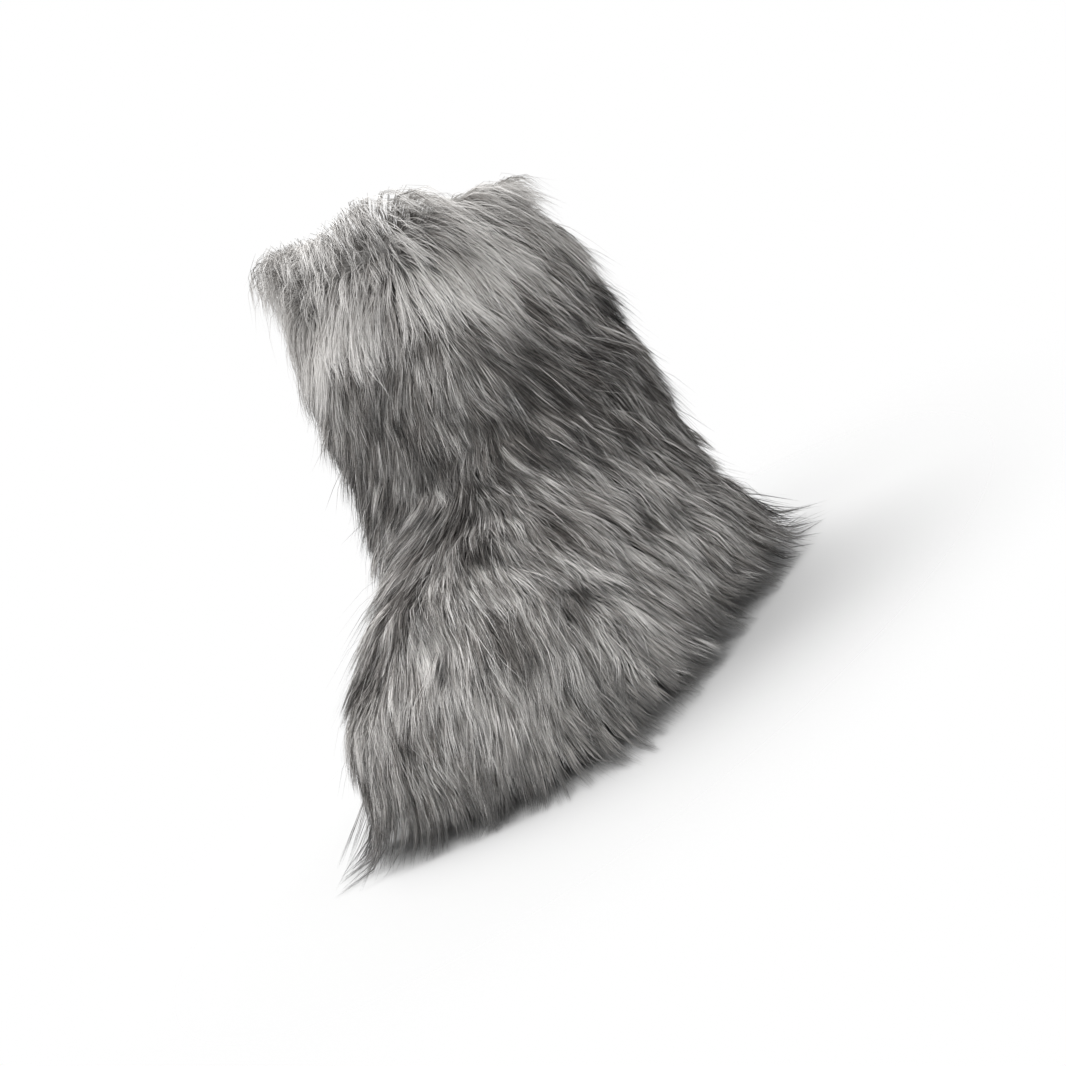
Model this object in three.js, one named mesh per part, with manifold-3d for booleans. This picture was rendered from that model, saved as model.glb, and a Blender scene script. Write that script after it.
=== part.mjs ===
// Snow boot of deep-pile fur, left shoe, EU 38, empty and standing on its sole.
// Millimetres. +X points to the toe, +Y to the wearer's left (the outer side of this foot), +Z up.
// The upper is one hollow wall: plush lining, backing cloth and the standing pile together.

import * as THREE from "three";
import { mergeVertices } from "three/addons/utils/BufferGeometryUtils.js";
import Module from "manifold-3d";

const wasm = await Module();
wasm.setup();

// Driving dimensions of the last, which is the space inside the boot.
const LAST_LENGTH = 248;
const BALL_WIDTH = 94;
const INSTEP_HEIGHT = 92;
const HEEL_HEIGHT = 30; // the heel seat, which is the top of the sole, over the floor
const BALL_HEIGHT = 20; // the top of the sole over the floor at the ball
const TOE_SPRING = 10;
const SHAFT_HEIGHT = 266; // at the front of the collar
const SHAFT_WIDTH = 100;

// Sole and insole.
const SOLE_LENGTH = 262;
const SOLE_BACK = -6; // how far the sole starts behind the last
const ARCH_HEIGHT = 10;
const LUG_DEPTH = 4.5;
const GROOVE_WIDTH = 5;
const INSOLE_THICKNESS = 5;
const INSOLE_INSET = 9; // from the edge of the sole to the edge of the insole
const GAP = 0.3; // between pieces that touch

// Fur.
const HEM_HEIGHT = 3; // the fur ends just over the floor
const FLARE = 13; // how far the hem spreads past the wall above it
const FLARE_LEAN = 0.4; // the share by which it spreads more at the heel and on the outer side
const FLARE_TOP = 78;
const FLARE_CURVE = 1.4;

// Fineness.
const ROWS_BETWEEN = 2; // sections made between two rows of a table
const POINTS_AROUND = 40;
const OUTLINE_POINTS = 72;
const PROFILE_POINTS = 26;
const CUT_MARGIN = 20; // how far a cutting solid runs past what it cuts

// Lengthwise columns are shares of LAST_LENGTH, heights over the seat are shares of INSTEP_HEIGHT and
// half widths are shares of BALL_WIDTH. "ahead", "over", "under" and "side" are the depth of the wall in mm:
// ahead of the section, over its top, past its bottom and on each side. "boxy" squares the bottom.
const FOOT = table(
  ["topX", "rise", "bottomX", "medial", "lateral", "wide", "boxy", "ahead", "over", "under", "side"],
  [
    [1.004, 0.11, 1.004, 0.1, -0.07, 0.6, 0.2, 22, 2, 70, 2],
    [1.0, 0.15, 1.0, 0.14, -0.03, 0.6, 0.2, 22, 3, 72, 7],
    [0.99, 0.24, 0.99, 0.22, 0.06, 0.6, 0.3, 21, 6, 74, 13],
    [0.962, 0.38, 0.962, 0.35, 0.24, 0.62, 0.4, 18, 12, 78, 20],
    [0.905, 0.53, 0.905, 0.44, 0.38, 0.64, 0.5, 13, 20, 80, 22],
    [0.79, 0.68, 0.79, 0.475, 0.475, 0.64, 0.5, 6, 27, 80, 24],
    [0.68, 0.78, 0.653, 0.47, 0.52, 0.62, 0.5, 0, 30, 80, 26],
    [0.613, 0.88, 0.484, 0.45, 0.52, 0.58, 0.45, 0, 31, 80, 28],
    [0.573, 1.0, 0.302, 0.46, 0.52, 0.54, 0.4, 0, 31, 80, 30],
    [0.548, 1.14, 0.113, 0.48, 0.51, 0.5, 0.25, 0, 30, 76, 30],
  ],
);

// Heights are shares of SHAFT_HEIGHT, and half widths are shares of SHAFT_WIDTH.
const SHAFT = table(
  ["frontX", "frontZ", "backX", "backZ", "half", "wide", "boxy", "over", "under", "side"],
  [
    [0.538, 0.508, 0.045, 0.128, 0.48, 0.5, 0.18, 31, 60, 30],
    [0.528, 0.535, 0.008, 0.165, 0.48, 0.5, 0.12, 31, 42, 30],
    [0.508, 0.6, -0.008, 0.3, 0.49, 0.5, 0.05, 34, 32, 30],
    [0.492, 0.685, -0.004, 0.49, 0.495, 0.5, 0, 34, 28, 28],
    [0.48, 0.79, 0.004, 0.705, 0.5, 0.5, 0, 31, 26, 26],
    [0.476, 0.89, 0.012, 0.835, 0.5, 0.5, 0, 25, 24, 23],
    [0.476, 0.95, 0.014, 0.885, 0.5, 0.5, 0, 21, 21, 20],
    [0.476, 0.985, 0.016, 0.915, 0.5, 0.5, 0, 14, 14, 14],
    [0.476, 1.0, 0.016, 0.925, 0.5, 0.5, 0, 6, 6, 6],
  ],
);

// Shares of SOLE_LENGTH ahead of the heel's back, and of BALL_WIDTH to each side.
const OUTLINE = table(
  ["along", "medial", "lateral"],
  [
    [0.03, 0.235, 0.235],
    [0.1, 0.34, 0.35],
    [0.195, 0.365, 0.385],
    [0.345, 0.335, 0.385],
    [0.48, 0.37, 0.42],
    [0.6, 0.455, 0.49],
    [0.69, 0.495, 0.52],
    [0.805, 0.48, 0.475],
    [0.91, 0.4, 0.31],
    [0.97, 0.28, 0.085],
  ],
);
const TOE_ASIDE = -0.105; // the toe's tip leans to the inner side, in shares of BALL_WIDTH

// The underside of the sole: shares of SOLE_LENGTH and mm over the floor.
const UNDERSIDE = table(
  ["along", "up"],
  [
    [0, 4],
    [0.05, 0],
    [0.27, 0],
    [0.295, ARCH_HEIGHT],
    [0.46, ARCH_HEIGHT],
    [0.54, 0],
    [0.79, 0],
    [0.9, 0.35 * TOE_SPRING],
    [1, 1.3 * TOE_SPRING],
  ],
);

// Grooves across the tread: where each starts, in shares of SOLE_LENGTH, and its lean in degrees.
const GROOVES = table(
  ["along", "lean"],
  [
    [0.085, -12],
    [0.155, -12],
    [0.225, -12],
    [0.575, 14],
    [0.64, 14],
    [0.705, 14],
    [0.77, 14],
    [0.835, 14],
    [0.9, 14],
  ],
);

function table(columns, rows) {
  return rows.map((row) => Object.fromEntries(columns.map((name, i) => [name, row[i]])));
}

function soleX(share) {
  return SOLE_BACK + share * SOLE_LENGTH;
}

// The top of the sole: high under the heel, low under the ball, rising again at the toe.
function seat(x) {
  const slope = THREE.MathUtils.smoothstep(x, 0.22 * LAST_LENGTH, 0.64 * LAST_LENGTH);
  const spring = Math.max(0, (x - 0.78 * LAST_LENGTH) / (0.22 * LAST_LENGTH));
  return HEEL_HEIGHT + (BALL_HEIGHT - HEEL_HEIGHT) * slope + TOE_SPRING * spring ** 2;
}

// A section runs from its front or top point to its back or bottom point, with its half widths.
function footSection(row) {
  const topX = row.topX * LAST_LENGTH;
  const bottomX = row.bottomX * LAST_LENGTH;
  return {
    ...row,
    front: new THREE.Vector2(topX, seat(topX) + row.rise * INSTEP_HEIGHT),
    back: new THREE.Vector2(bottomX, seat(bottomX)),
    medial: row.medial * BALL_WIDTH,
    lateral: row.lateral * BALL_WIDTH,
  };
}

function shaftSection(row) {
  return {
    ...row,
    front: new THREE.Vector2(row.frontX * LAST_LENGTH, row.frontZ * SHAFT_HEIGHT),
    back: new THREE.Vector2(row.backX * LAST_LENGTH, row.backZ * SHAFT_HEIGHT),
    medial: row.half * SHAFT_WIDTH,
    lateral: row.half * SHAFT_WIDTH,
    ahead: 0,
  };
}

// One closed loop of points around a section. wall is 0 for the last and 1 for the outside of the fur.
function sectionLoop(section, wall) {
  const axis = section.front.clone().sub(section.back).normalize();
  const front = section.front.clone().addScaledVector(axis, wall * section.over);
  const back = section.back.clone().addScaledVector(axis, -wall * section.under);
  const widest = section.front.clone().lerp(section.back, section.wide);
  const middle = (section.lateral - section.medial) / 2;
  const half = (section.lateral + section.medial) / 2 + wall * section.side;
  return Array.from({ length: POINTS_AROUND }, (_, i) => {
    const angle = (2 * Math.PI * i) / POINTS_AROUND;
    const c = Math.cos(angle);
    const reach = c >= 0 ? c : Math.abs(c) ** (1 - section.boxy);
    const place = widest.clone().lerp(c >= 0 ? front : back, reach);
    return new THREE.Vector3(place.x + wall * section.ahead, middle + half * Math.sin(angle), place.y);
  });
}

// Catmull-Rom between four loops, point by point.
function loopBetween(loops, i, t) {
  const pick = (k) => loops[Math.min(Math.max(k, 0), loops.length - 1)];
  const [a, b, c, d] = [pick(i - 1), pick(i), pick(i + 1), pick(i + 2)];
  const weights = [
    -0.5 * t + t ** 2 - 0.5 * t ** 3,
    1 - 2.5 * t ** 2 + 1.5 * t ** 3,
    0.5 * t + 2 * t ** 2 - 1.5 * t ** 3,
    -0.5 * t ** 2 + 0.5 * t ** 3,
  ];
  return b.map((_, k) => {
    const point = new THREE.Vector3();
    [a, b, c, d].forEach((loop, n) => point.addScaledVector(loop[k], weights[n]));
    return point;
  });
}

function smoothLoops(loops) {
  const all = [];
  for (let i = 0; i < loops.length - 1; i += 1) {
    for (let n = 0; n < ROWS_BETWEEN; n += 1) {
      all.push(loopBetween(loops, i, n / ROWS_BETWEEN));
    }
  }
  all.push(loops[loops.length - 1]);
  return all;
}

// The boot's form from toe to collar: the last at wall 0, the outside of the fur at wall 1.
function formLoops(wall) {
  const sections = [...FOOT.map(footSection), ...SHAFT.map(shaftSection)];
  return smoothLoops(sections.map((section) => sectionLoop(section, wall)));
}

// Near the floor the fur spreads away from the middle of the foot.
function flared(point) {
  const low = THREE.MathUtils.clamp(1 - point.z / FLARE_TOP, 0, 1);
  const centre = THREE.MathUtils.clamp(point.x, 0.2 * LAST_LENGTH, 0.75 * LAST_LENGTH);
  const away = new THREE.Vector3(point.x - centre, point.y, 0).normalize();
  const spread = FLARE * (1 + (FLARE_LEAN * (away.y - away.x)) / Math.SQRT2);
  return point.clone().addScaledVector(away, spread * low ** FLARE_CURVE);
}

// A closed surface through loops of equal length, with a fan at each end. bend moves every point.
function loft(loops, bend = (point) => point) {
  const size = loops[0].length;
  const ends = [loops[0], loops[loops.length - 1]].map((loop) => {
    const sum = loop.reduce((total, point) => total.add(point), new THREE.Vector3());
    return sum.divideScalar(size);
  });
  const points = [...loops.flat(), ...ends];
  const faces = [];
  loops.slice(1).forEach((_, row) => {
    for (let i = 0; i < size; i += 1) {
      const next = (i + 1) % size;
      const [a, b] = [row * size + i, row * size + next];
      const [c, d] = [a + size, b + size];
      faces.push(a, b, d, a, d, c);
    }
  });
  const last = (loops.length - 1) * size;
  for (let i = 0; i < size; i += 1) {
    const next = (i + 1) % size;
    faces.push(points.length - 2, next, i);
    faces.push(points.length - 1, last + i, last + next);
  }
  const geometry = new THREE.BufferGeometry().setFromPoints(points.map(bend));
  geometry.setIndex(faces);
  return geometry;
}

function solid(geometry) {
  const plain = geometry.clone();
  plain.deleteAttribute("normal");
  plain.deleteAttribute("uv");
  const merged = mergeVertices(plain, 1e-4);
  return new wasm.Manifold(
    new wasm.Mesh({
      numProp: 3,
      vertProperties: new Float32Array(merged.attributes.position.array),
      triVerts: new Uint32Array(merged.index.array),
    }),
  );
}

function geometryOf(manifold) {
  const mesh = manifold.getMesh();
  const geometry = new THREE.BufferGeometry();
  geometry.setAttribute("position", new THREE.BufferAttribute(mesh.vertProperties, 3));
  geometry.setIndex(new THREE.BufferAttribute(mesh.triVerts, 1));
  return geometry;
}

// The outline of the sole seen from above, moved outwards by grow.
function outline(grow) {
  const width = (share) => share * BALL_WIDTH;
  const lateral = OUTLINE.map((row) => new THREE.Vector3(soleX(row.along), width(row.lateral), 0));
  const medial = OUTLINE.map((row) => new THREE.Vector3(soleX(row.along), -width(row.medial), 0));
  const heel = new THREE.Vector3(soleX(0), 0, 0);
  const toe = new THREE.Vector3(soleX(1), width(TOE_ASIDE), 0);
  const curve = new THREE.CatmullRomCurve3([heel, ...medial, toe, ...lateral.reverse()], true);
  return curve
    .getSpacedPoints(OUTLINE_POINTS)
    .slice(0, -1)
    .map((point, i) => {
      const along = curve.getTangentAt(i / OUTLINE_POINTS);
      return new THREE.Vector2(point.x + grow * along.y, point.y - grow * along.x);
    });
}

// The outline as a column from low to high.
function column(grow, low, high) {
  const geometry = new THREE.ExtrudeGeometry(new THREE.Shape(outline(grow)), {
    depth: high - low,
    bevelEnabled: false,
  });
  return solid(geometry.translate(0, 0, low));
}

// A side profile between two heights along the foot, as wide as the boot.
function slab(low, high) {
  const start = SOLE_BACK - CUT_MARGIN;
  const length = SOLE_LENGTH + 2 * CUT_MARGIN;
  const stations = Array.from({ length: PROFILE_POINTS + 1 }, (_, i) => start + (i / PROFILE_POINTS) * length);
  const corners = UNDERSIDE.map((row) => soleX(row.along));
  const xs = [...stations, ...corners].sort((a, b) => a - b);
  const under = xs.map((x) => new THREE.Vector2(x, low(x)));
  const over = xs.map((x) => new THREE.Vector2(x, high(x))).reverse();
  const geometry = new THREE.ExtrudeGeometry(new THREE.Shape([...under, ...over]), {
    depth: 2 * BALL_WIDTH,
    bevelEnabled: false,
  });
  return solid(geometry.rotateX(Math.PI / 2).translate(0, BALL_WIDTH, 0));
}

function underside(x) {
  const place = THREE.MathUtils.clamp((x - SOLE_BACK) / SOLE_LENGTH, 0, 1);
  const after = Math.max(1, UNDERSIDE.findIndex((row) => row.along >= place));
  const [a, b] = [UNDERSIDE[after - 1], UNDERSIDE[after]];
  return THREE.MathUtils.mapLinear(place, a.along, b.along, a.up, b.up);
}

// V-shaped grooves: one leaning bar on each side of the middle line.
function grooves() {
  const bars = GROOVES.flatMap((row) =>
    [-1, 1].map((side) => {
      const bar = new THREE.BoxGeometry(GROOVE_WIDTH, BALL_WIDTH, 4 * HEEL_HEIGHT);
      bar.translate(0, (side * BALL_WIDTH) / 2 - side, 0);
      bar.rotateZ(side * THREE.MathUtils.degToRad(row.lean));
      return solid(bar.translate(soleX(row.along), 0, 0));
    }),
  );
  return bars.reduce((all, bar) => all.add(bar));
}

function outsole() {
  const body = column(0, -CUT_MARGIN, 2 * HEEL_HEIGHT).intersect(slab(underside, seat));
  const tread = slab(
    (x) => underside(x) - 1,
    (x) => underside(x) + LUG_DEPTH,
  );
  return body.subtract(tread.intersect(grooves()));
}

function insole(grow) {
  return column(grow - INSOLE_INSET, -CUT_MARGIN, 3 * HEEL_HEIGHT).intersect(
    slab(
      (x) => seat(x) + GAP - grow,
      (x) => seat(x) + GAP + INSOLE_THICKNESS + grow,
    ),
  );
}

function upper() {
  const fur = solid(loft(formLoops(1), flared));
  const lastLoops = formLoops(0);
  const top = lastLoops[lastLoops.length - 1].map((point) => point.clone().setZ(point.z + CUT_MARGIN));
  const space = solid(loft([...lastLoops, top]));
  const floor = new THREE.BoxGeometry(4 * LAST_LENGTH, 4 * LAST_LENGTH, LAST_LENGTH);
  const under = solid(floor.translate(0, 0, HEM_HEIGHT - LAST_LENGTH / 2));
  const soleSpace = column(GAP, -CUT_MARGIN, 2 * HEEL_HEIGHT).intersect(
    slab(
      () => -CUT_MARGIN,
      (x) => seat(x) + GAP,
    ),
  );
  return fur.subtract(under).subtract(space).subtract(soleSpace).subtract(insole(GAP));
}

const FINISHES = {
  upper: { color: 0x8d8a88, roughness: 0.95, metalness: 0 },
  outsole: { color: 0x2b2b2d, roughness: 0.75, metalness: 0 },
  insole: { color: 0x9c9895, roughness: 0.95, metalness: 0 },
};

function part(name, manifold) {
  const geometry = geometryOf(manifold);
  geometry.computeVertexNormals();
  const mesh = new THREE.Mesh(geometry, new THREE.MeshStandardMaterial(FINISHES[name]));
  mesh.name = name;
  return mesh;
}

const boot = new THREE.Group();
boot.add(part("upper", upper()));
boot.add(part("outsole", outsole()));
boot.add(part("insole", insole(0)));

// The origin is the middle of the boot's box, on the floor.
const box = new THREE.Box3().setFromObject(boot);
const centre = box.getCenter(new THREE.Vector3());
boot.position.set(-centre.x, -centre.y, -box.min.z);
boot.updateMatrixWorld(true);

export default boot;
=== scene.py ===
"""A long-pile fur snow boot, left foot, standing on a plain pale floor.

The boot is a plush-lined shell covered with combed, clumped fur. A guide hair
is combed over the knitted backing from each of its vertices. The hairs between
them are blended from the guides, drawn together into pointed locks and made
into ribbons. A brushed felt insole and a rubber outsole sit inside it.
"""
import math

import bmesh
import bpy
import numpy as np
from mathutils import Matrix, Vector
from mathutils.bvhtree import BVHTree
from mathutils.kdtree import KDTree


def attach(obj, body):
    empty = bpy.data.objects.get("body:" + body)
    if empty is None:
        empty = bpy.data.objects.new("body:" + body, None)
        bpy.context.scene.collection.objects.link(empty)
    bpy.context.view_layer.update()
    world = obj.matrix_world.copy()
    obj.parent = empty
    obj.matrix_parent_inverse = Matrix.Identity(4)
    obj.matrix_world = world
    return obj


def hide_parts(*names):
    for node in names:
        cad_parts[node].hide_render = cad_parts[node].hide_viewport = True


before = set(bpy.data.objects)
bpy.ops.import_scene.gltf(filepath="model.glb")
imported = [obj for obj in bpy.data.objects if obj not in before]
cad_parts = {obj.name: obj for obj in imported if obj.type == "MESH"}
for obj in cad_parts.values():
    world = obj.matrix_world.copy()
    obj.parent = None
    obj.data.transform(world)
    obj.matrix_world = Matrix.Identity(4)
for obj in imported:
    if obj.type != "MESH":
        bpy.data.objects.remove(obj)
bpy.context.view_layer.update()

# Sizes in metres.
BACKING_CELL = 0.0045       # size of the backing's mesh cells
BACKING_DEPTH = 0.0125      # how far the backing lies under the fur's surface
HEM_HEIGHT = 0.003          # height of the shell's lower edge
HEM_CLEARANCE = 0.020       # height of the backing's lower edge
HEM_TUCK = 0.055            # the backing is tucked up and in below this height
COLLAR_DROP = 0.013         # how far the backing's collar lies under the fur's top
LIP_DEPTH = 0.016           # how far the fur carries on down inside the collar
SHAFT_X = -0.055            # middle of the shaft
SHAFT_Y = -0.0053
SHAFT_SPLIT = -0.043        # the shaft's hair is parted in front and back here
FOOT_TOP = 0.118            # the hair of vamp and heel is rooted below this height
VAMP_BACK = 0.035           # the vamp's hair is rooted in front of this
COLLAR_LOW = 0.208          # the collar's hair is rooted above this height
WHORL = np.array([-0.050, -0.003, 0.240])  # the fur of the foot fans out from here
PARTING = 20.0              # direction of the collar's parting, degrees from the toe
FLOOR_GAP = 0.0006          # lowest height of a hair tip
FURTHEST = (0.1825, 0.0975)           # no hair lies further than this from the middle
HAIR_ROOM = (0.1815, 0.0965, 0.283)   # hairs are cut where they pass these distances
WISP_ROOM = (0.1820, 0.0970)          # wisps of the hem bend out no further than this
GUIDE_DROP = 0.0035         # a guide hangs free once it is this far off the backing
SPLAY = 0.24                # how strongly the hair below the hem turns outward
HAIR_WIDTH = 0.00031

# Counts and shares.
GUIDE_POINTS = 7
LONG_HAIR_POINTS = 5        # points along each hair of the collar
HAIR_POINTS = 4             # points along each other hair
BIG_LOCKS = 420
SMALL_LOCKS = 3800
HAIRS_A_WISP = 4
LONG_WISPS = 0.26           # share of the wisps that run on down to the floor
SPREAD_LOCKS = 0.35         # share of the hem's locks with far-reaching wisps
TONES = 8                   # number of tone bands across the fur's colour map

LEVEL = np.array([1.0, 1.0, 0.0])     # times a vector, keeps its level part
SEED = 38

# Hairs planted in each area of the boot.
STRANDS = {
    "fur_collar": 27000,
    "fur_shaft_front": 35000,
    "fur_shaft_back": 32000,
    "fur_vamp": 38000,
    "fur_heel": 38000,
}


# ---------------------------------------------------------------- helpers
def unit(v):
    return v / np.maximum(np.linalg.norm(v, axis=-1, keepdims=True), 1e-9)


def step(a, b, x):
    """Smooth rise from 0 at a to 1 at b, or a fall where a is the larger."""
    t = np.clip((x - a) / (b - a), 0.0, 1.0)
    return t * t * (3.0 - 2.0 * t)


def mix(a, b, t):
    return a + (b - a) * t


def waves(points, size, seed, count=24):
    """Smooth noise of about unit spread, with features of the given size."""
    r = np.random.default_rng(seed)
    k = unit(r.normal(size=(count, 3))) * r.uniform(0.6, 1.4, (count, 1))
    phase = r.uniform(0.0, 2.0 * np.pi, count)
    turns = points @ (k * 2.0 * np.pi / size).T + phase
    return np.cos(turns).sum(-1) * math.sqrt(2.0 / count)


def dot(a, b):
    return (a * b).sum(-1, keepdims=True)


def across(v, n):
    """The part of v that lies in the surface whose normal is n, as a unit vector."""
    return unit(v - dot(v, n) * n)


def new_object(name, mesh, material):
    o = bpy.data.objects.new(name, mesh)
    bpy.context.scene.collection.objects.link(o)
    mesh.materials.clear()
    mesh.materials.append(material)
    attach(o, "root")
    return o


# ---------------------------------------------------------------- materials
class Nodes:
    """Short way to write a node tree."""

    def __init__(self, name):
        self.material = bpy.data.materials.new(name)
        self.material.use_nodes = True
        self.tree = self.material.node_tree
        self.shader = self.tree.nodes["Principled BSDF"]

    def add(self, kind, **settings):
        n = self.tree.nodes.new(kind)
        for key, value in settings.items():
            setattr(n, key, value)
        return n

    def link(self, a, b):
        self.tree.links.new(a, b)

    def math(self, operation, a, b=None):
        n = self.add("ShaderNodeMath", operation=operation)
        for i, x in enumerate((a, b)):
            if x is None:
                continue
            if isinstance(x, (int, float)):
                n.inputs[i].default_value = x
            else:
                self.link(x, n.inputs[i])
        return n.outputs[0]

    def ramp(self, fac, stops):
        n = self.add("ShaderNodeValToRGB")
        e = n.color_ramp.elements
        while len(e) < len(stops):
            e.new(0.5)
        for i, (at, colour) in enumerate(stops):
            e[i].position = at
            e[i].color = (*colour, 1.0)
        self.link(fac, n.inputs[0])
        return n.outputs[0]

    def blend(self, fac, a, b, kind="MIX"):
        n = self.add("ShaderNodeMix", data_type="RGBA", blend_type=kind)
        for i, x in ((0, fac), (6, a), (7, b)):
            if isinstance(x, (int, float)):
                n.inputs[i].default_value = x
            elif isinstance(x, tuple):
                n.inputs[i].default_value = (*x, 1.0)
            else:
                self.link(x, n.inputs[i])
        return n.outputs[2]

    def noise(self, coords, scale, detail=3.0, rough=0.55):
        n = self.add("ShaderNodeTexNoise")
        n.inputs["Scale"].default_value = scale
        n.inputs["Detail"].default_value = detail
        n.inputs["Roughness"].default_value = rough
        self.link(coords, n.inputs["Vector"])
        return n.outputs[0]

    def bump(self, height, strength, distance):
        n = self.add("ShaderNodeBump")
        n.inputs["Strength"].default_value = strength
        n.inputs["Distance"].default_value = distance
        self.link(height, n.inputs["Height"])
        self.link(n.outputs[0], self.shader.inputs["Normal"])

    def set(self, **values):
        for key, value in values.items():
            self.shader.inputs[key.replace("_", " ")].default_value = value


def fur_material():
    """Colour by place in the map: v runs root to tip, u holds tone and tip darkness."""
    m = Nodes("long pile fur")
    uv = m.add("ShaderNodeUVMap", uv_map="OFBake")
    parts = m.add("ShaderNodeSeparateXYZ")
    m.link(uv.outputs[0], parts.inputs[0])
    u, v = parts.outputs[0], parts.outputs[1]
    bands = m.math("MULTIPLY", u, float(TONES))
    tone = m.math("DIVIDE", m.math("FLOOR", bands), float(TONES - 1))
    tip = m.math("FRACT", bands)
    pale = m.ramp(v, [
        (0.0, (0.160, 0.153, 0.147)),
        (0.30, (0.460, 0.448, 0.436)),
        (0.70, (0.760, 0.748, 0.736)),
        (1.0, (0.860, 0.852, 0.844)),
    ])
    dark = m.ramp(v, [
        (0.0, (0.150, 0.143, 0.137)),
        (0.30, (0.400, 0.388, 0.376)),
        (0.52, (0.300, 0.288, 0.278)),
        (0.74, (0.026, 0.025, 0.025)),
        (1.0, (0.008, 0.008, 0.008)),
    ])
    both = m.blend(tip, pale, dark)
    level = m.ramp(tone, [
        (0.0, (0.064, 0.056, 0.051)),
        (0.5, (0.405, 0.384, 0.367)),
        (1.0, (0.960, 0.952, 0.940)),
    ])
    colour = m.blend(1.0, both, level, "MULTIPLY")
    m.link(colour, m.shader.inputs["Base Color"])
    m.set(Roughness=0.62, Specular_IOR_Level=0.35, Sheen_Weight=0.12,
          Sheen_Roughness=0.5)
    return m.material


def backing_material():
    """Grey knitted backing that the fur is planted in, its dark grey partly its own colour
    and partly painted shade in the gaps between the hairs, paler toward the collar.
    """
    m = Nodes("fur backing")
    coords = m.add("ShaderNodeTexCoord").outputs["Object"]
    fine = m.noise(coords, 900.0, 2.0)
    broad = m.noise(coords, 60.0, 3.0)
    parts = m.add("ShaderNodeSeparateXYZ")
    m.link(coords, parts.inputs[0])
    collar = m.add("ShaderNodeMapRange")
    collar.inputs["From Min"].default_value = 0.190
    collar.inputs["From Max"].default_value = 0.235
    m.link(parts.outputs[2], collar.inputs[0])
    depth = m.blend(0.5, broad, collar.outputs[0])
    # Dark greys: partly the backing's own colour, partly painted shade where it shows
    # between the hairs.
    colour = m.ramp(depth, [
        (0.15, (0.095, 0.091, 0.087)),
        (0.35, (0.170, 0.164, 0.158)),
        (0.85, (0.330, 0.322, 0.314)),
    ])
    m.link(colour, m.shader.inputs["Base Color"])
    m.bump(fine, 0.6, 0.002)
    m.set(Roughness=0.95, Specular_IOR_Level=0.1)
    return m.material


def lining_material():
    """Short, dense, warm grey plush."""
    m = Nodes("plush lining")
    coords = m.add("ShaderNodeTexCoord").outputs["Object"]
    pile = m.noise(coords, 700.0, 4.0, 0.7)
    broad = m.noise(coords, 45.0, 4.0)
    tint = m.blend(0.5, pile, broad)
    colour = m.ramp(tint, [
        (0.32, (0.150, 0.142, 0.134)),
        (0.50, (0.260, 0.249, 0.238)),
        (0.68, (0.390, 0.376, 0.360)),
    ])
    m.link(colour, m.shader.inputs["Base Color"])
    m.bump(pile, 0.9, 0.003)
    m.set(Roughness=0.9, Specular_IOR_Level=0.15, Sheen_Weight=0.4)
    return m.material


def felt_material():
    """Brushed grey felt of the insole."""
    m = Nodes("insole felt")
    coords = m.add("ShaderNodeTexCoord").outputs["Object"]
    stretch = m.add("ShaderNodeMapping")
    stretch.inputs["Scale"].default_value = (0.35, 1.0, 1.0)
    m.link(coords, stretch.inputs["Vector"])
    fibres = m.noise(stretch.outputs[0], 1100.0, 5.0, 0.75)
    worn = m.noise(coords, 35.0, 3.0)
    tint = m.blend(0.45, fibres, worn)
    colour = m.ramp(tint, [
        (0.34, (0.105, 0.100, 0.096)),
        (0.52, (0.190, 0.183, 0.176)),
        (0.68, (0.290, 0.281, 0.272)),
    ])
    m.link(colour, m.shader.inputs["Base Color"])
    m.bump(fibres, 0.7, 0.0015)
    m.set(Roughness=0.95, Specular_IOR_Level=0.1, Sheen_Weight=0.3)
    return m.material


def rubber_material():
    """Black moulded rubber with a fine matt grain and a little dust."""
    m = Nodes("sole rubber")
    coords = m.add("ShaderNodeTexCoord").outputs["Object"]
    grain = m.noise(coords, 1500.0, 2.0)
    dust = m.noise(coords, 70.0, 5.0, 0.65)
    colour = m.ramp(dust, [
        (0.40, (0.020, 0.020, 0.021)),
        (0.62, (0.036, 0.036, 0.036)),
        (0.78, (0.070, 0.068, 0.064)),
    ])
    m.link(colour, m.shader.inputs["Base Color"])
    rough = m.ramp(dust, [(0.35, (0.50,) * 3), (0.75, (0.78,) * 3)])
    m.link(rough, m.shader.inputs["Roughness"])
    m.bump(grain, 0.35, 0.0006)
    m.set(Specular_IOR_Level=0.45)
    return m.material


# ---------------------------------------------------------------- backing and lining
def mesh_arrays(mesh):
    """Places and normals of the mesh's vertices."""
    count = len(mesh.vertices)
    co = np.empty(count * 3)
    mesh.vertices.foreach_get("co", co)
    nor = np.empty(count * 3)
    mesh.vertices.foreach_get("normal", nor)
    return co.reshape(-1, 3), nor.reshape(-1, 3)


def shell_mesh():
    """The upper's shell, merged and rebuilt with even cells."""
    bm = bmesh.new()
    bm.from_mesh(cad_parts["upper"].data)
    bmesh.ops.remove_doubles(bm, verts=bm.verts, dist=1e-5)
    bmesh.ops.recalc_face_normals(bm, faces=bm.faces)
    rough = bpy.data.meshes.new("shell")
    bm.to_mesh(rough)
    bm.free()
    o = bpy.data.objects.new("shell", rough)
    bpy.context.scene.collection.objects.link(o)
    even = o.modifiers.new("even", "REMESH")
    even.mode = "VOXEL"
    even.voxel_size = BACKING_CELL
    depsgraph = bpy.context.evaluated_depsgraph_get()
    mesh = bpy.data.meshes.new_from_object(o.evaluated_get(depsgraph))
    bpy.data.objects.remove(o)
    bpy.data.meshes.remove(rough)
    return mesh


def tree_of(*meshes):
    """Search tree of all the meshes' faces."""
    points = []
    faces = []
    for mesh in meshes:
        start = len(points)
        points.extend(v.co.copy() for v in mesh.vertices)
        faces.extend([start + i for i in p.vertices] for p in mesh.polygons)
    return BVHTree.FromPolygons(points, faces)


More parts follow.
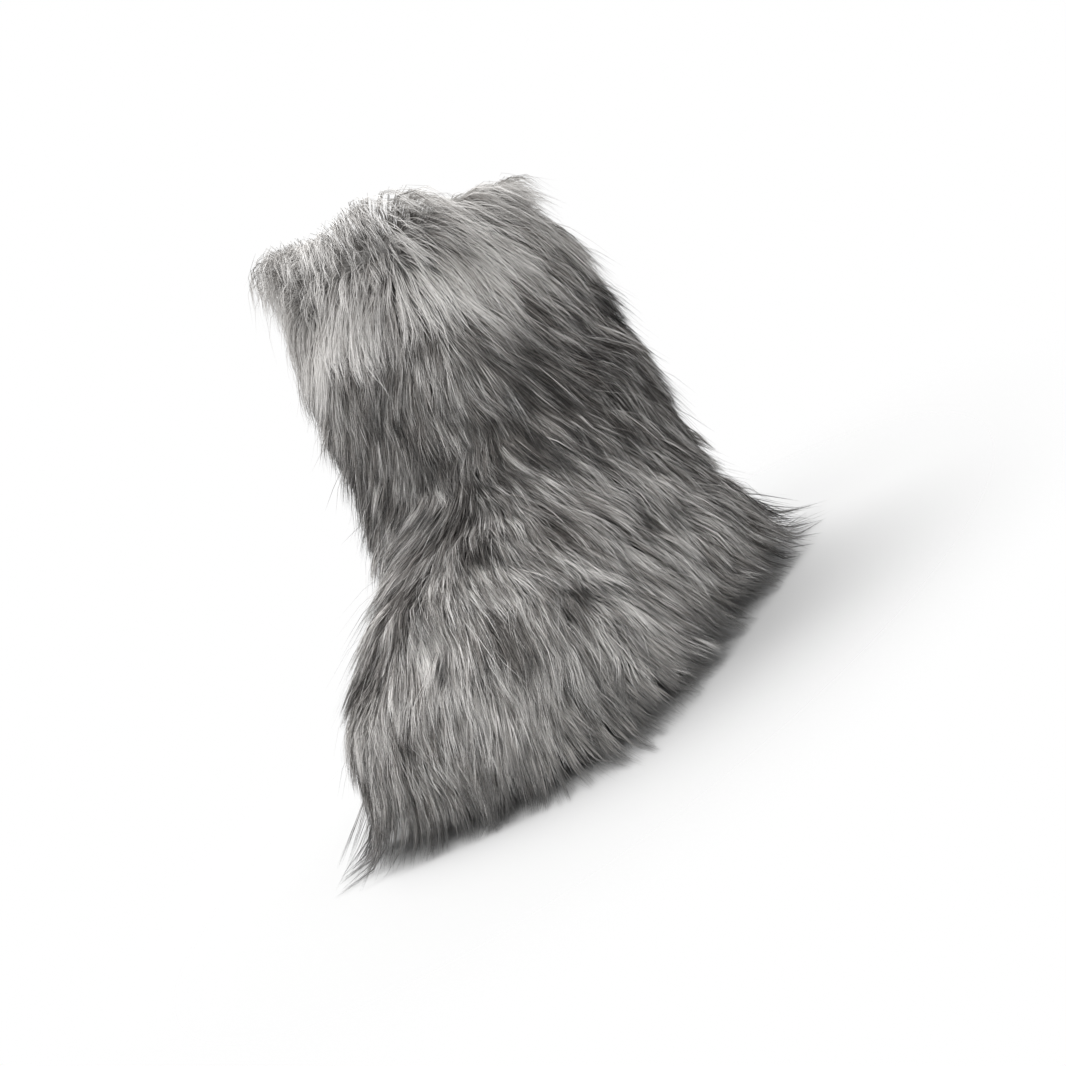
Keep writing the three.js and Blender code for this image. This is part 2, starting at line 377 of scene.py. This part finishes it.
def outside_of(mesh):
    """True for each vertex of the shell that looks out, not into the boot."""
    co, nor = mesh_arrays(mesh)
    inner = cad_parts["insole"].data
    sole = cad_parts["outsole"].data
    tree = tree_of(mesh, inner, sole)
    out = np.zeros(len(co), bool)
    for i in range(len(co)):
        n = Vector(nor[i])
        hit = tree.ray_cast(Vector(co[i]) + n * 0.002, n)[0]
        out[i] = hit is None
    return out


def neighbours(mesh):
    """The mesh's edges as pairs of vertices, and how many edges meet at each vertex."""
    pairs = np.empty(len(mesh.edges) * 2, int)
    mesh.edges.foreach_get("vertices", pairs)
    pairs = pairs.reshape(-1, 2)
    degree = np.bincount(pairs.ravel(), minlength=len(mesh.vertices))
    return pairs, np.maximum(degree, 1)[:, None]


def averaged(values, pairs, degree):
    """Mean of the values at each vertex's neighbours."""
    total = np.zeros_like(values)
    np.add.at(total, pairs[:, 0], values[pairs[:, 1]])
    np.add.at(total, pairs[:, 1], values[pairs[:, 0]])
    return total / degree


def collar_plane(co):
    """Height of the collar's edge over the floor as a + b x + c y."""
    top = co[co[:, 2] > 0.20]
    turn = np.arctan2(top[:, 1] - SHAFT_Y, top[:, 0] - SHAFT_X)
    sector = np.floor((turn + np.pi) / (2.0 * np.pi) * 30.0).astype(int)
    peaks = np.array([top[sector == k][top[sector == k][:, 2].argmax()]
                      for k in np.unique(sector)])
    terms = np.stack([np.ones(len(peaks)), peaks[:, 0], peaks[:, 1]], -1)
    return np.linalg.lstsq(terms, peaks[:, 2], rcond=None)[0]


def below_collar(p, plane):
    """How far each point lies under the collar's edge."""
    return plane[0] + plane[1] * p[:, 0] + plane[2] * p[:, 1] - p[:, 2]


def backing():
    """Backing mesh, which vertices look out, which carry fur, and the collar's plane."""
    mesh = shell_mesh()
    out = outside_of(mesh)
    pairs, degree = neighbours(mesh)

    # The outer skin moves in to where the fur is rooted, and less beside the lip.
    share = out.astype(float)[:, None]
    for _ in range(2):
        share = mix(share, averaged(share, pairs, degree), 0.5)
    share = np.where(out[:, None], share, 0.0)
    co, nor = mesh_arrays(mesh)
    depth = below_collar(co, collar_plane(co))
    top = 1.0 - step(0.012, 0.032, depth)
    passes = 5
    for _ in range(passes):
        co, nor = mesh_arrays(mesh)
        low = 1.0 - step(HEM_TUCK * 0.5, HEM_TUCK, co[:, 2])
        level = nor * LEVEL
        way = mix(nor, level, np.maximum(low, top)[:, None])
        co = co - way * share * BACKING_DEPTH / passes
        calm = averaged(co, pairs, degree)
        co = np.where(out[:, None], mix(co, calm, 0.5), co)
        mesh.vertices.foreach_set("co", co.ravel())
        mesh.update()

    # The hem is lifted clear of the floor, and the collar is lowered into its fur.
    co, nor = mesh_arrays(mesh)
    lifted = (HEM_TUCK - HEM_CLEARANCE) / (HEM_TUCK - HEM_HEIGHT)
    co[:, 2] = np.where(co[:, 2] < HEM_TUCK, HEM_TUCK - (HEM_TUCK - co[:, 2]) * lifted,
                        co[:, 2])
    co[:, 2] -= COLLAR_DROP * (1.0 - step(0.0, 0.060, depth))
    mesh.vertices.foreach_set("co", co.ravel())
    mesh.update()
    co, nor = mesh_arrays(mesh)
    plane = collar_plane(co)
    lip = (~out) & (below_collar(co, plane) < LIP_DEPTH)
    furred = lip | (out & ((nor[:, 2] > -0.40) | (co[:, 2] > 0.035)))
    return mesh, out, furred, plane


# ---------------------------------------------------------------- combing
def side_of(p):
    """Place around the shaft from -1 to 1: above 0 is the outer side of the parting."""
    angle = np.arctan2(p[:, 1] - SHAFT_Y, p[:, 0] - SHAFT_X)
    return np.sin(angle - math.radians(PARTING))


def comb(p, n):
    """Direction in which the fur lies at each point of the backing."""
    z = p[:, 2]
    around_angle = np.arctan2(p[:, 1] - SHAFT_Y, p[:, 0] - SHAFT_X)
    flat = np.zeros_like(z)
    around = np.stack([-np.sin(around_angle), np.cos(around_angle), flat], -1)
    outward = np.stack([np.cos(around_angle), np.sin(around_angle), flat], -1)
    down = np.array([0.0, 0.0, -1.0])

    # On the shaft the hair swings from straight down, away from the parting.
    turn = side_of(p)
    high = step(0.205, 0.250, z)
    right = mix(15.0, 66.0, high) * np.clip(turn, 0.0, 1.0) ** mix(0.7, 0.4, high)
    left = mix(30.0, 56.0, high) * np.clip(-turn, 0.0, 1.0) ** 1.7
    swing = right - left
    swing = swing + 6.0 * waves(p, 0.060, SEED + 1) + 4.0 * waves(p, 0.022, SEED + 2)
    swing = np.radians(swing)[:, None]
    shaft = np.cos(swing) * down + np.sin(swing) * around
    crown = np.clip(n[:, 2:3], 0.0, 1.0) * high[:, None]
    inward = step(0.05, -0.45, dot(n, outward)[:, 0])[:, None]
    shaft = shaft + outward * crown * mix(0.8, -1.0, inward)

    # On the foot it fans out from the whorl.
    foot = unit(p - WHORL) + 0.10 * down
    wander = np.radians(6.0 * waves(p, 0.050, SEED + 4) + 4.0 * waves(p, 0.02, SEED + 5))
    foot = across(foot, n)
    foot = foot + np.tan(np.clip(wander, -0.6, 0.6))[:, None] * np.cross(n, foot)
    t = step(0.100, 0.160, z - 0.10 * (p[:, 0] - 0.02))[:, None]
    return across(mix(foot, unit(shaft), t), n)


def from_shaft(p):
    """Level direction away from the middle of the shaft."""
    return unit((p - np.array([SHAFT_X, SHAFT_Y, 0.0])) * LEVEL)


def standing_hair(p, n, left, right):
    """The collar's crown: hair that rises, leans over the rim and droops."""
    turn = side_of(p)
    front = step(-0.100, -0.030, p[:, 0])
    s = np.linspace(0.0, 1.0, GUIDE_POINTS)[None, :, None]
    lean = unit(comb(p, n) * LEVEL + 0.6 * from_shaft(p))[:, None, :]
    out_by = (0.032 - 0.020 * left - 0.006 * right) * mix(0.60, 1.0, front)
    lean = lean * out_by[:, None, None] * s ** 1.3
    rise = 0.031 + 0.003 * left - 0.019 * right + 0.004 * waves(p, 0.040, SEED + 8)
    rise = rise - 0.017 * step(-0.70, -0.97, turn)
    rise = (rise * mix(0.66, 1.0, front))[:, None, None] * (1.0 - (1.0 - s) ** 2.4)
    upward = unit(0.35 * n + np.array([0.0, 0.0, 0.65]))[:, None, :]
    standing = p[:, None, :] + upward * rise + lean
    droop = mix(0.017, 0.025, front)
    standing[..., 2] -= droop[:, None] * s[..., 0] ** 3.0
    return standing


def grow_guides(mesh, furred, plane):
    """A combed guide hair on each furred vertex of the backing."""
    co, nor = mesh_arrays(mesh)
    faces = [list(f.vertices) for f in mesh.polygons]
    faces = [f for f in faces if all(furred[i] for i in f)]
    tree = BVHTree.FromPolygons([Vector(c) for c in co], faces)
    face_normal = unit(np.array([nor[f].mean(0) for f in faces]))
    ids = np.flatnonzero(furred)
    p = co[ids]
    n = unit(nor[ids])
    z = p[:, 2]
    depth = below_collar(p, plane)
    high = 1.0 - step(0.004, 0.055, depth)
    low = 1.0 - step(0.02, 0.06, z)
    facing = (n * from_shaft(p)).sum(-1)
    length = 0.034 + 0.008 * high + 0.004 * waves(p, 0.05, SEED + 6) + 0.016 * low
    length = np.clip(length, 0.026, 0.056)
    instep = step(0.45, 0.80, n[:, 2]) * step(0.06, 0.10, z) * step(0.17, 0.14, z)
    length = length + 0.012 * instep
    lift = 0.0140 + 0.0050 * high + 0.0015 * waves(p, 0.035, SEED + 7)
    lift = lift - 0.0030 * instep
    turn = side_of(p)
    left = step(0.1, -0.6, turn)
    right = step(0.0, 0.6, turn)
    lift = lift - (0.0060 * left + 0.0040 * right) * high
    edge = 1.0 - step(0.003, 0.016, depth)
    inside = step(-0.2, -0.8, facing) * edge
    crown = edge * (1.0 - inside)
    lift = lift - 0.006 * inside
    length = length * (1.0 - 0.35 * inside)

    # Each guide steps along the backing, and hangs free where that falls away.
    count = GUIDE_POINTS
    curves = np.empty((len(p), count, 3))
    curves[:, 0] = p
    q = p.copy()
    m = n.copy()
    d = comb(q, m)
    free = np.zeros(len(p), bool)
    level = unit(n * LEVEL)
    for k in range(1, count):
        s = k / (count - 1)
        d = np.where(free[:, None], unit(d + SPLAY * low[:, None] * level), comb(q, m))
        stride = length / (count - 1) * (0.55 + 0.65 * min(1.0, s * 1.6))
        q = q + d * stride[:, None]
        for i in range(len(q)):
            if free[i]:
                continue
            spot, _, index, gap = tree.find_nearest(Vector(q[i]))
            if gap > GUIDE_DROP:
                free[i] = True
                continue
            q[i] = spot
            m[i] = face_normal[index]
        h = lift * (1.0 - (1.0 - s) ** 2.2)
        curves[:, k] = q + m * h[:, None]
    curves = mix(curves, standing_hair(p, n, left, right), crown[:, None, None])
    return ids, curves, co, nor, faces


# ---------------------------------------------------------------- strands
def area_of(p):
    """Number of the area each root belongs to, in the order of STRANDS."""
    x, _, z = p.T
    collar, shaft_front, shaft_back, vamp, heel = range(len(STRANDS))
    label = np.where(x > SHAFT_SPLIT, shaft_front, shaft_back)
    label = np.where(z < FOOT_TOP, np.where(x > VAMP_BACK, vamp, heel), label)
    return np.where(z > COLLAR_LOW, collar, label)


def resample(curves, reach, points):
    """Each curve again, cut at its own reach and split into even steps."""
    last = curves.shape[1] - 1
    s = np.linspace(0.0, 1.0, points)[None, :] * reach[:, None] * last
    i = np.clip(np.floor(s).astype(int), 0, last - 1)
    t = (s - i)[..., None]
    rows = np.arange(len(curves))[:, None]
    return mix(curves[rows, i], curves[rows, i + 1], t)


def nearest_index(points, centres):
    """Number of the centre that lies nearest to each point."""
    tree = KDTree(len(centres))
    for i, c in enumerate(centres):
        tree.insert(c, i)
    tree.balance()
    return np.array([tree.find(p)[1] for p in points])


def plant(ids, guides, co, nor, faces):
    """Root, normal and combed curve of each hair on the boot."""
    r = np.random.default_rng(SEED)
    place = np.full(len(co), -1)
    place[ids] = np.arange(len(ids))
    tris = []
    for f in faces:
        for k in range(1, len(f) - 1):
            tris.append((f[0], f[k], f[k + 1]))
    tris = np.array(tris)
    corners = co[tris]
    size = np.linalg.norm(np.cross(corners[:, 1] - corners[:, 0],
                                   corners[:, 2] - corners[:, 0]), axis=-1)
    label = area_of(corners.mean(1))
    picked = []
    for number, count in enumerate(STRANDS.values()):
        here = np.flatnonzero(label == number)
        share = size[here] / size[here].sum()
        picked.append(r.choice(here, count, p=share))
    picked = np.concatenate(picked)
    area = label[picked]
    a = r.random(len(picked))
    b = r.random(len(picked))
    flip = a + b > 1.0
    a = np.where(flip, 1.0 - a, a)
    b = np.where(flip, 1.0 - b, b)
    weight = np.stack([1.0 - a - b, a, b], -1)
    chosen = tris[picked]
    roots = (co[chosen] * weight[..., None]).sum(1)
    normals = unit((nor[chosen] * weight[..., None]).sum(1))
    curves = (guides[place[chosen]] * weight[..., None, None]).sum(1)
    return roots, normals, curves, area


def room(curves, lock, wisp, r):
    """How much of each hair stays clear of the floor and inside the boot's own space.

    Most locks end at their own height over the floor. The long wisps run on
    down to it, and some of them lie along it.
    """
    total = len(curves)
    steps = 24
    fine = resample(curves, np.ones(total), steps + 1)
    long = r.random(total)[wisp] < LONG_WISPS
    splay = np.where(long, r.uniform(0.0, 8.0, total)[wisp], 0.0)
    ragged = 0.0045 + 0.0160 * r.random(total)[lock] ** 1.3 + 0.0040 * r.random(total)
    ends_at = np.where(long, 0.0012, ragged)[:, None]
    laid = np.cumsum(fine[..., 2] < ends_at, axis=1) > splay[:, None]
    uneven = np.where(long, 0.004 * r.random(total)[wisp], 0.017 * r.random(total)[lock])
    uneven = uneven[:, None]
    x_room, y_room, z_room = HAIR_ROOM
    wide = np.abs(fine[..., 0]) > x_room - uneven
    wide = wide | (np.abs(fine[..., 1]) > y_room - uneven)
    blocked = laid | wide | (fine[..., 2] > z_room)
    first = np.where(blocked.any(1), blocked.argmax(1), steps + 1)
    return np.maximum(first / steps, 0.12), long


def per(values):
    """One value for each hair, shaped to go with the points of all curves."""
    return values[:, None, None]


def hem_wisps(curves, reach, normals, side, s, amount, small, wisp, r):
    """Long wisps of the hem, bent out over the floor, some of them far."""
    total = len(curves)
    chosen = r.random(total)[small] < SPREAD_LOCKS
    far = r.random(total)[wisp] < np.where(chosen, 0.75, 0.12)
    out_by = amount * np.where(far, 0.018, 0.006)
    flare = unit(LEVEL * normals)
    space = np.array(WISP_ROOM) - np.abs(curves[:, -1, :2])
    space = (space / np.maximum(np.abs(flare[:, :2]), 0.02)).min(axis=1)
    out_by = np.minimum(out_by, np.maximum(space, 0.0))
    bend = np.minimum(s / per(reach), 1.0) ** 2.0
    curves = curves + flare[:, None, :] * bend * per(out_by)
    return curves + side * bend * per(amount * r.normal(0.0, 0.0035, total)[small])


def style(roots, normals, curves, plane):
    """Locks, stray hairs and uneven lengths, so that the fur looks worn in."""
    r = np.random.default_rng(SEED + 20)
    total = len(roots)
    along = unit(curves[:, 2] - curves[:, 0])
    side = unit(np.cross(normals, along))[:, None, :]
    up = normals[:, None, :]
    s = np.linspace(0.0, 1.0, curves.shape[1])[None, :, None]
    depth = below_collar(roots, plane)
    high = 1.0 - step(0.010, 0.065, depth)
    low = 1.0 - step(0.030, 0.060, roots[:, 2])

    def nearest_of(count):
        chosen = r.choice(total, count, replace=False)
        return chosen[nearest_index(roots, roots[chosen])]

    big = nearest_of(BIG_LOCKS)
    small = nearest_of(SMALL_LOCKS)
    wisp = nearest_of(total // HAIRS_A_WISP)

    # Locks sway and are drawn together toward their tips.
    sway = r.normal(size=total)
    rise = r.normal(size=total)
    curl = r.normal(size=total)
    curves = curves + side * s ** 1.5 * per(0.0050 * sway[big] + 0.0032 * curl[small])
    curves = curves + up * s * per(0.0018 * rise[big] + 0.0024 * rise[small])
    tight = mix(r.uniform(0.15, 0.75, total)[small], 0.88, 0.75 * low)
    curves = mix(curves, curves[small], per(tight) * s ** mix(1.6, 1.1, per(low)))
    curves = mix(curves, curves[big], 0.10 * s ** 2.0)

    # Wisps wave, part from each other and close to a point, most of all on the
    # outer side and at the rim.
    phase = per(r.uniform(0.0, 6.28, total)[wisp])
    turns = per(r.uniform(1.0, 2.4, total)[wisp])
    loose = mix(0.0009, 0.0023, high)
    curves = curves + side * s * np.sin(np.pi * s * turns + phase) * per(loose)
    curves = curves + side * s * per(r.normal(0.0, 0.0030, total)[wisp])
    curves = curves + up * s ** 1.2 * per(r.normal(0.0, 0.0012, total)[wisp])
    away = step(0.0, 0.7, side_of(roots))
    ring = step(0.012, 0.002, depth)
    neat = np.maximum(away, ring)
    tied = mix(r.uniform(0.0, 0.8, total), r.uniform(0.4, 0.95, total), neat)
    curves = mix(curves, curves[wisp], per(tied[wisp]) * s ** mix(0.8, 0.5, per(away)))
    curves = curves + side * s * per(r.normal(0.0, 0.0010, total))
    scatter = mix(0.0090, 0.0045, step(-0.100, -0.040, roots[:, 0]))
    scatter = ring * scatter * r.normal(size=total)[wisp]
    curves = curves + from_shaft(roots)[:, None, :] * s * per(scatter)

    # Stray hairs leave the wisps, and the rest end unevenly.
    stray = (r.random(total) < mix(0.04, 0.11, high)).astype(float)
    curves = curves + side * s ** 1.4 * per(stray * r.normal(0.0, 0.0060, total))
    curves = curves + up * s ** 1.3 * per(stray * np.abs(r.normal(0.0, 0.0040, total)))
    reach = (0.80 + 0.20 * r.random(total)[small]) * (1.0 - 0.45 * r.random(total) ** 2.4)
    reach = mix(reach, 0.90 + 0.10 * r.random(total), 0.8 * ring)
    reach = np.where(stray > 0, 1.0, reach)
    fly = stray * ring * r.uniform(0.0, 0.14, total)
    curves = roots[:, None, :] + (curves - roots[:, None, :]) * per(1.0 + fly)
    clear, long = room(curves, small, wisp, r)
    hem = long & (low > 0.3)
    reach = np.where(hem, 1.0, reach)
    reach = np.minimum(reach, clear)
    amount = step(0.35, 0.8, low) * long
    curves = hem_wisps(curves, reach, normals, side, s, amount, small, wisp, r)
    return curves, reach, (small, wisp), stray, high, low, hem


def tones(roots, normals, curves, locks, high, low, hem):
    """Brightness and tip darkness of each hair, both from 0 to 1. The brightness holds
    painted light and shade by side.
    """
    r = np.random.default_rng(SEED + 30)
    total = len(roots)
    small, wisp = locks
    x, y, z = roots.T

    # Places on the boot, each from 0 to 1.
    away = step(0.1, 0.9, side_of(roots))
    left = step(0.5, -0.1, side_of(roots))
    shaft = step(0.09, 0.14, z) * (1.0 - high)
    flank = step(0.01, 0.05, y) * step(-0.11, -0.05, x)
    instep = step(0.35, 0.75, normals[:, 2]) * step(0.17, 0.14, z)
    instep = instep * step(0.06, 0.10, z)
    heel = away * step(-0.04, -0.09, x)
    toe = step(0.00, -0.03, y) * step(0.02, 0.07, x) * (1.0 - low)

    # Brightness, with painted light on the left side, the collar and the outer side of the
    # foot, and painted shade on the shaft's outer side.
    patch = waves(roots * np.array([1.0, 1.0, 0.6]), 0.024, SEED + 31)
    broad = waves(roots, 0.070, SEED + 32)
    mixed = mix(0.18, 0.34, away * (1.0 - high))
    tone = 0.60 + 0.15 * patch + 0.05 * broad + mixed * r.normal(size=total)[wisp]
    tone = tone + 0.16 * r.normal(size=total) + 0.15 * r.normal(size=total)[small]
    streak = waves(curves[:, 4], 0.0065, SEED + 34)
    tone = tone + mix(0.15, 0.46, away) * (1.0 - 0.5 * high) * streak
    # The collar's hair is paler, partly its own colour and partly painted light on the top
    # of the boot; the shaft is darker.
    tone = tone + 0.33 * high - 0.16 * shaft + 0.10 * (1.0 - shaft) * (1.0 - high)
    # Painted shade on the shaft's outer side, and painted light on the left side of the
    # shaft and collar.
    tone = tone - 0.08 * shaft * away + (0.22 * shaft + 0.13 * high) * left
    # Painted light on the outer side of the foot.
    tone = tone + 0.13 * flank * (1.0 - shaft) * (1.0 - high)
    tone = tone - 0.16 * instep
    tone = tone - (0.15 * heel + 0.13 * toe) * (1.0 - shaft) * (1.0 - high)
    tone = tone + (0.30 - 0.18 * heel) * low

    # Tip darkness: the guard hairs and the hem's long wisps have black tips.
    odds = mix(0.28, 0.50, shaft) * mix(1.0, 0.06, high)
    odds = odds * (1.0 - 0.9 * instep)
    guard = (r.random(total)[wisp] < odds).astype(float)
    dark = 0.14 + 0.14 * waves(roots, 0.030, SEED + 33) + 0.20 * r.normal(size=total)[small]
    dark = dark + 0.18 * shaft + 0.62 * guard - 0.20 * high - 0.14 * low
    dark = dark - 0.25 * high ** 4
    dark = dark + 0.08 * r.normal(size=total)
    dark = dark + 0.24 * (1.0 - high) * waves(curves[:, 5], 0.0080, SEED + 35)
    dark = np.where(hem, 0.94, dark)
    return np.clip(tone, 0.0, 1.0), np.clip(dark, 0.02, 0.98)


def ribbons(name, curves, reach, normals, width, tone, dark, seed, material):
    """Joined mesh of tapered ribbons, one for each curve."""
    r = np.random.default_rng(seed)
    curves = resample(curves, reach, LONG_HAIR_POINTS if "collar" in name else HAIR_POINTS)
    for axis, limit in enumerate(FURTHEST):
        curves[..., axis] = np.clip(curves[..., axis], -limit, limit)
    curves[..., 2] = np.maximum(curves[..., 2], FLOOR_GAP)
    total, points = curves.shape[:2]
    tangent = unit(np.gradient(curves, axis=1))
    flat = unit(np.cross(tangent, normals[:, None, :]))
    other = np.cross(flat, tangent)
    twist = r.uniform(-1.15, 1.15, total)[:, None, None]
    spread = np.cos(twist) * flat + np.sin(twist) * other
    taper = np.interp(np.linspace(0, 1, points), [0, 0.4, 0.75, 1], [1, 1, 0.7, 0.0])
    half = 0.5 * width[:, None, None] * taper[None, :, None]
    left = curves - spread * half
    right = curves + spread * half
    rows = points - 1
    each = 2 * rows + 1
    verts = np.empty((total, each, 3), np.float32)
    verts[:, 0:2 * rows:2] = left[:, :rows]
    verts[:, 1:2 * rows:2] = right[:, :rows]
    verts[:, -1] = curves[:, -1]
    quads = rows - 1
    one = []
    for k in range(quads):
        one += [2 * k, 2 * k + 1, 2 * k + 3, 2 * k + 2]
    one += [2 * quads, 2 * quads + 1, 2 * rows]
    one = np.array(one)
    loops = (one[None, :] + each * np.arange(total)[:, None]).ravel()
    sizes = np.tile([4] * quads + [3], total)
    starts = np.concatenate([[0], np.cumsum(sizes)[:-1]])
    mesh = bpy.data.meshes.new(name)
    mesh.vertices.add(total * each)
    mesh.vertices.foreach_set("co", verts.ravel())
    mesh.loops.add(len(loops))
    mesh.loops.foreach_set("vertex_index", loops.astype(np.int32))
    mesh.polygons.add(len(sizes))
    mesh.polygons.foreach_set("loop_start", starts.astype(np.int32))
    band = np.floor(np.clip(tone, 0, 0.999) * TONES)
    u = (band + mix(0.06, 0.94, dark)) / TONES
    v = np.linspace(0.004, 0.996, points)
    uv = np.empty((total, each, 2), np.float32)
    uv[:, 0:2 * rows:2, 0] = u[:, None] - 0.002
    uv[:, 1:2 * rows:2, 0] = u[:, None] + 0.002
    uv[:, -1, 0] = u
    uv[:, 0:2 * rows:2, 1] = v[:rows]
    uv[:, 1:2 * rows:2, 1] = v[:rows]
    uv[:, -1, 1] = v[-1]
    layer = mesh.uv_layers.new(name="OFBake")
    layer.data.foreach_set("uv", uv.reshape(-1, 2)[loops].ravel())
    mesh.update()
    mesh.validate()
    mesh.polygons.foreach_set("use_smooth", np.ones(len(sizes), bool))
    return new_object(name, mesh, material)


# ---------------------------------------------------------------- build
fur = fur_material()
backing_look = backing_material()
lining_look = lining_material()

mesh, out, furred, plane = backing()
ids, guides, co, nor, faces = grow_guides(mesh, furred, plane)
roots, normals, curves, area = plant(ids, guides, co, nor, faces)
curves, reach, locks, stray, high, low, hem = style(roots, normals, curves, plane)
tone, dark = tones(roots, normals, curves, locks, high, low, hem)
r = np.random.default_rng(SEED + 40)
width = HAIR_WIDTH * r.uniform(0.7, 1.25, len(roots)) * np.where(stray > 0, 0.75, 1.0)
for number, name in enumerate(STRANDS):
    here = area == number
    ribbons(name, curves[here], reach[here], normals[here], width[here], tone[here],
            dark[here], SEED + 50 + number, fur)

mesh.name = "backing"
shell = new_object("backing_and_lining", mesh, backing_look)
mesh.materials.append(lining_look)
looks = np.array([0 if any(out[i] for i in f.vertices) else 1 for f in mesh.polygons])
mesh.polygons.foreach_set("material_index", looks.astype(np.int32))
mesh.polygons.foreach_set("use_smooth", np.ones(len(mesh.polygons), bool))
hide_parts("upper")

for node, look in (("insole", felt_material()), ("outsole", rubber_material())):
    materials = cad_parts[node].data.materials
    materials.clear()
    materials.append(look)


# ---------------------------------------------------------------- floor, light and camera
def floor_piece():
    """A plain pale floor that fades into the background far from the boot."""
    m = Nodes("floor")
    coords = m.add("ShaderNodeTexCoord").outputs["Object"]
    oval = m.add("ShaderNodeVectorMath", operation="MULTIPLY")
    m.link(coords, oval.inputs[0])
    oval.inputs[1].default_value = (1.0, 1.6, 1.0)
    reach = m.add("ShaderNodeVectorMath", operation="LENGTH")
    m.link(oval.outputs[0], reach.inputs[0])
    fade = m.add("ShaderNodeMapRange", interpolation_type="SMOOTHSTEP")
    fade.inputs["From Min"].default_value = 0.18
    fade.inputs["From Max"].default_value = 0.46
    m.link(reach.outputs["Value"], fade.inputs[0])
    beneath = m.add("ShaderNodeNewGeometry").outputs["Backfacing"]
    clear = m.add("ShaderNodeBsdfTransparent")
    both = m.add("ShaderNodeMixShader")
    m.link(m.math("MAXIMUM", fade.outputs[0], beneath), both.inputs[0])
    m.link(m.shader.outputs[0], both.inputs[1])
    m.link(clear.outputs[0], both.inputs[2])
    m.link(both.outputs[0], m.tree.nodes["Material Output"].inputs[0])
    m.set(Base_Color=(0.48, 0.48, 0.48, 1.0), Roughness=0.85, Specular_IOR_Level=0.1)
    bm = bmesh.new()
    bmesh.ops.create_circle(bm, cap_ends=True, radius=3.0, segments=96)
    mesh = bpy.data.meshes.new("floor")
    bm.to_mesh(mesh)
    bm.free()
    mesh.transform(Matrix.Translation((0.0, 0.0, -0.0002)))
    o = bpy.data.objects.new("floor", mesh)
    bpy.context.scene.collection.objects.link(o)
    mesh.materials.append(m.material)


def light(name, place, aim, size, power):
    data = bpy.data.lights.new(name, "AREA")
    data.shape = "DISK"
    data.size = size
    data.energy = power
    o = bpy.data.objects.new(name, data)
    o.location = place
    o.rotation_euler = (Vector(aim) - Vector(place)).to_track_quat("-Z", "Y").to_euler()
    bpy.context.scene.collection.objects.link(o)


def surroundings():
    """White to the camera, and a dimmer even glow to everything else."""
    world = bpy.data.worlds.new("studio")
    world.use_nodes = True
    bpy.context.scene.world = world
    tree = world.node_tree
    seen = tree.nodes["Background"]
    seen.inputs["Color"].default_value = (1.0, 1.0, 1.0, 1.0)
    seen.inputs["Strength"].default_value = 1.0
    glow = tree.nodes.new("ShaderNodeBackground")
    glow.inputs["Color"].default_value = (1.0, 1.0, 1.0, 1.0)
    glow.inputs["Strength"].default_value = 0.55
    path = tree.nodes.new("ShaderNodeLightPath")
    both = tree.nodes.new("ShaderNodeMixShader")
    tree.links.new(path.outputs["Is Camera Ray"], both.inputs[0])
    tree.links.new(glow.outputs[0], both.inputs[1])
    tree.links.new(seen.outputs[0], both.inputs[2])
    tree.links.new(both.outputs[0], tree.nodes["World Output"].inputs[0])


def camera():
    """Camera to the front of the boot's outer side, tipped to one side."""
    turn, rise, roll = math.radians(118.7), math.radians(8.9), math.radians(-30.2)
    back = Vector((math.sin(turn) * math.cos(rise), -math.cos(turn) * math.cos(rise),
                   math.sin(rise)))
    right = Vector((math.cos(turn), math.sin(turn), 0.0))
    up = back.cross(right)
    cam_right = right * math.cos(roll) + up * math.sin(roll)
    cam_up = up * math.cos(roll) - right * math.sin(roll)
    aim = Vector((-0.0034, 0.0060, 0.0853))
    distance = 1.5
    turned = Matrix((cam_right, cam_up, back)).transposed()
    data = bpy.data.cameras.new("camera")
    data.lens = 100.8
    data.clip_start = 0.05
    o = bpy.data.objects.new("camera", data)
    o.matrix_world = Matrix.Translation(aim + back * distance) @ turned.to_4x4()
    bpy.context.scene.collection.objects.link(o)
    bpy.context.scene.camera = o


floor_piece()
light("key", place=(-0.56, -0.63, 1.28), aim=(0.0, 0.0, 0.10), size=1.4, power=32.0)
light("fill", place=(0.95, 0.42, 1.35), aim=(0.0, 0.0, 0.10), size=1.6, power=26.0)
surroundings()
bpy.context.scene.view_settings.view_transform = "Standard"
camera()
